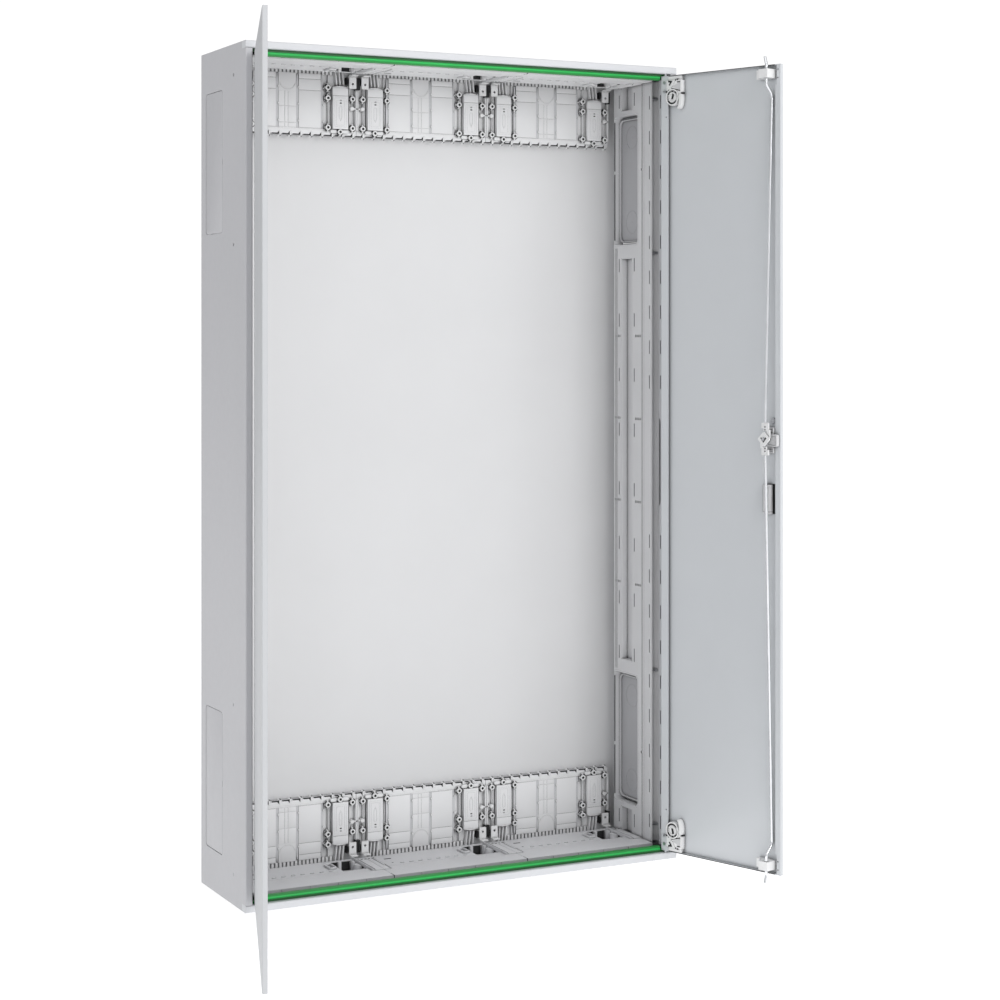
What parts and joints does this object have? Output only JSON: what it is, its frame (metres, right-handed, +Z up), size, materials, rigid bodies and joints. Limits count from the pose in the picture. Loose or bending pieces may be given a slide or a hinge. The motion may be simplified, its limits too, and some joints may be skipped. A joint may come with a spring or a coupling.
{
  "type": "industrial switchboard cabinet",
  "caption": "Shallow wall-mounted switchboard cabinet with two unequal doors standing open, ribbed cable flanges inside and a rod lock on the narrow door.",
  "frame": {"origin": "centre of the cabinet's back face, on the wall plane", "axes": "+Z up, +Y into the wall (the front faces -Y), +X to the right seen from the front"},
  "size_m": [1.0116, 0.6923, 1.4],
  "materials": {
    "painted_steel": "satin powder coat",
    "grey_plastic": "fine matt moulding",
    "white_plastic": "satin moulding",
    "green_rubber": "smooth rubber",
    "zinc_steel": "zinc plated",
    "handle_plastic": "fine matt moulding"
  },
  "bodies": {
    "cabinet": {"back_panel": "painted_steel", "bottom_gasket": "green_rubber", "bottom_plate": "painted_steel", "bottom_rail": "painted_steel", "entry_cover_left_bottom": "painted_steel", "entry_cover_left_top": "painted_steel", "entry_cover_right_bottom": "painted_steel", "entry_cover_right_top": "painted_steel", "entry_plate_left_bottom": "grey_plastic", "entry_plate_left_top": "grey_plastic", "entry_plate_right_bottom": "grey_plastic", "entry_plate_right_top": "grey_plastic", "flange_bottom_left": "grey_plastic", "flange_bottom_middle": "grey_plastic", "flange_bottom_right": "grey_plastic", "flange_top_left": "grey_plastic", "flange_top_middle": "grey_plastic", "flange_top_right": "grey_plastic", "hinge_bushes": "white_plastic", "joint_brackets": "white_plastic", "left_profile": "grey_plastic", "left_side_wall": "painted_steel", "module_screws": "zinc_steel", "rear_covers_bottom": "grey_plastic", "rear_covers_top": "grey_plastic", "rear_flange_bottom_left": "grey_plastic", "rear_flange_bottom_middle": "grey_plastic", "rear_flange_bottom_right": "grey_plastic", "rear_flange_top_left": "grey_plastic", "rear_flange_top_middle": "grey_plastic", "rear_flange_top_right": "grey_plastic", "right_profile": "grey_plastic", "right_side_wall": "painted_steel", "side_screws": "zinc_steel", "top_gasket": "green_rubber", "top_plate": "painted_steel", "top_rail": "painted_steel"},
    "left_door": {"left_door_leaf": "painted_steel", "left_hinge_bottom": "white_plastic", "left_hinge_pins": "zinc_steel", "left_hinge_screws": "zinc_steel", "left_hinge_top": "white_plastic"},
    "right_door": {"handle_dish": "handle_plastic", "lock_housing": "white_plastic", "lock_screws": "zinc_steel", "lower_rod_guide": "white_plastic", "right_door_leaf": "painted_steel", "right_hinge_bottom": "white_plastic", "right_hinge_pins": "zinc_steel", "right_hinge_screws": "zinc_steel", "right_hinge_top": "white_plastic", "upper_rod_guide": "white_plastic"},
    "handle": {"handle_lever": "handle_plastic", "handle_spindle": "zinc_steel", "lock_crank": "zinc_steel"},
    "upper_rod": {"upper_rod": "zinc_steel", "upper_rod_lug": "zinc_steel"},
    "lower_rod": {"lower_rod": "zinc_steel", "lower_rod_lug": "zinc_steel"},
    "key": {"key_plug": "zinc_steel"}
  },
  "joints": [
    {"name": "left_door_hinge", "type": "hinge", "parent": "cabinet", "child": "left_door", "pos_m": [-0.3797, -0.221, 0], "axis": [0, 0, 1], "range_deg": [0, 108.35]},
    {"name": "right_door_hinge", "type": "hinge", "parent": "cabinet", "child": "right_door", "pos_m": [0.3797, -0.221, 0], "axis": [0, 0, 1], "range_deg": [-108.35, 0]},
    {"name": "handle_turn", "type": "hinge", "parent": "right_door", "child": "handle", "pos_m": [0.45968, -0.44943, 0.0515], "axis": [0.9492, 0.3148, 0], "range_deg": [0, 90]},
    {"name": "upper_rod_slide", "type": "slide", "parent": "right_door", "child": "upper_rod", "axis": [0, 0, -1], "range_m": [0, 0.0095]},
    {"name": "lower_rod_slide", "type": "slide", "parent": "right_door", "child": "lower_rod", "axis": [0, 0, 1], "range_m": [0, 0.0095]},
    {"name": "key_turn", "type": "hinge", "parent": "right_door", "child": "key", "pos_m": [0.45968, -0.44943, 0.082], "axis": [0.9492, 0.3148, 0], "range_deg": [0, 90]}
  ],
  "couplings": [
    {"joint": "upper_rod_slide", "follows": "handle_turn", "m_per_rad": 0.006047},
    {"joint": "lower_rod_slide", "follows": "handle_turn", "m_per_rad": 0.006047}
  ]
}
